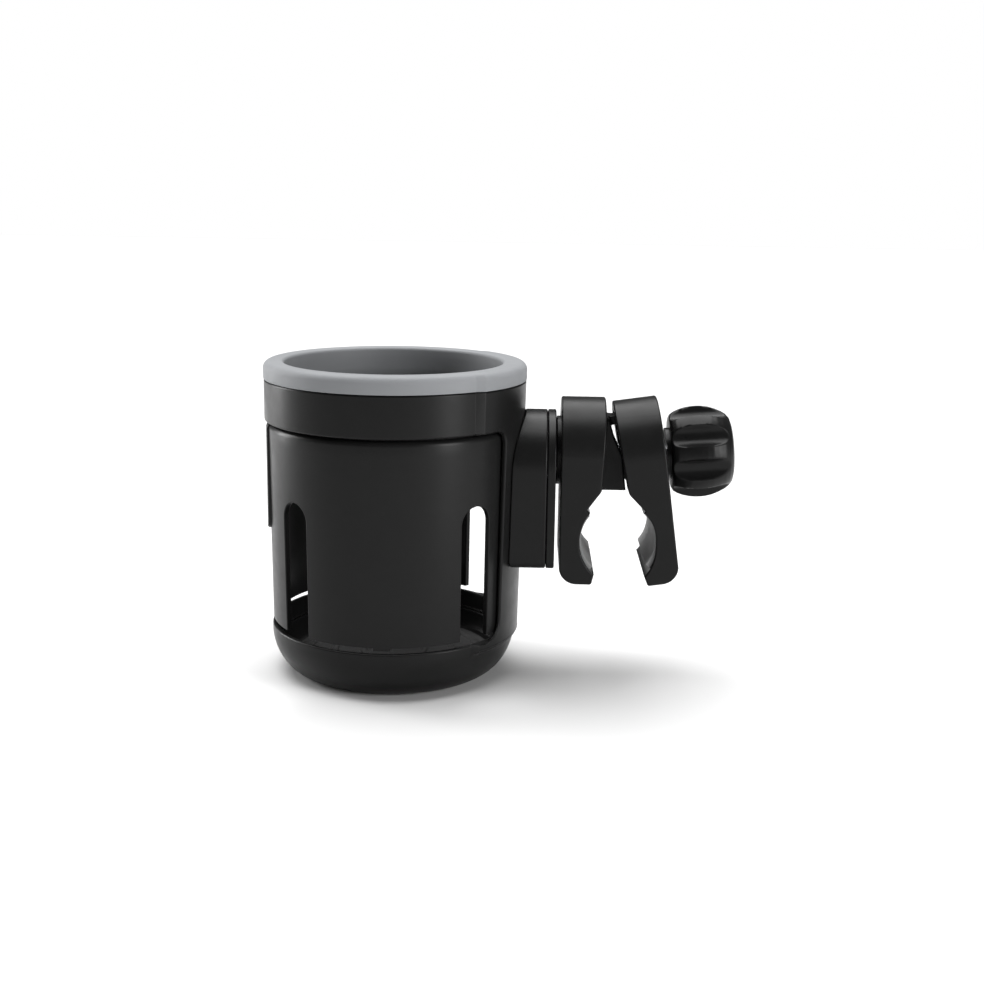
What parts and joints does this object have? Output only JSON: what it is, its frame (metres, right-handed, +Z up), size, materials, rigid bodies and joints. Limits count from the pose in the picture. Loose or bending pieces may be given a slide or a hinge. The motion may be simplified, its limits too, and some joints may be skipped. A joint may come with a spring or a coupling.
{
  "type": "tube clamp cup holder",
  "caption": "Cup holder with a soft rim and slotted liner on a swivel bracket, held by a screw-up clamp with padded jaws and a fluted knob.",
  "frame": {"origin": "centre of the cup's underside, on the ground plane when the cup stands upright", "axes": "+Z up along the cup's axis, +X from the cup along the clamp arm, +Y to the back"},
  "size_m": [0.174, 0.0956, 0.117],
  "materials": {
    "black_shell": "satin",
    "grey_soft_ring": "matte",
    "black_liner": "satin",
    "floor_rubber": "matte",
    "pad_rubber": "matte",
    "jaw_plastic": "satin",
    "knob_plastic": "satin",
    "bearing_plastic": "matte",
    "steel": "brushed",
    "brass": "satin"
  },
  "bodies": {
    "clamp": {"fixed_jaw": "jaw_plastic", "fixed_pad": "pad_rubber", "clamp_bolt": "steel", "jaw_spring": "steel", "swivel_hub": "jaw_plastic", "hub_screws": "steel", "wave_washer": "steel", "retaining_washer": "steel", "swivel_screw": "steel"},
    "cup": {"cage_frame": "black_shell", "rim_ring": "grey_soft_ring", "finger_sleeve": "black_liner", "badge_plate": "black_liner", "floor_mat": "floor_rubber", "bracket_housing": "black_shell", "housing_screws": "steel", "cover_plate": "black_shell", "cover_screws": "steel", "friction_disc": "bearing_plastic"},
    "slider": {"thrust_washer": "knob_plastic"},
    "jaw": {"moving_jaw": "jaw_plastic", "moving_pad": "pad_rubber"},
    "knob": {"knob": "knob_plastic", "knob_insert": "brass", "knob_cap": "knob_plastic"}
  },
  "joints": [
    {"name": "cup_swivel", "type": "hinge", "parent": "clamp", "child": "cup", "pos_m": [0.0604, 0, 0.08445], "axis": [1, 0, 0], "continuous": true},
    {"name": "jaw_travel", "type": "slide", "parent": "clamp", "child": "slider", "axis": [0.9969, 0, 0.0785], "range_m": [-0.0018, 0.006], "deforming": ["jaw_spring"]},
    {"name": "jaw_tilt", "type": "hinge", "parent": "slider", "child": "jaw", "pos_m": [0.08822, 0, 0.08297], "axis": [0, 1, 0], "range_deg": [-1.2, 9]},
    {"name": "knob_spin", "type": "hinge", "parent": "slider", "child": "knob", "pos_m": [0.10289, 0, 0.08413], "axis": [0.9969, 0, 0.0785], "range_deg": [-660, 2200]}
  ],
  "couplings": [
    {"joint": "knob_spin", "follows": "jaw_travel", "rad_per_m": 6283.2}
  ]
}
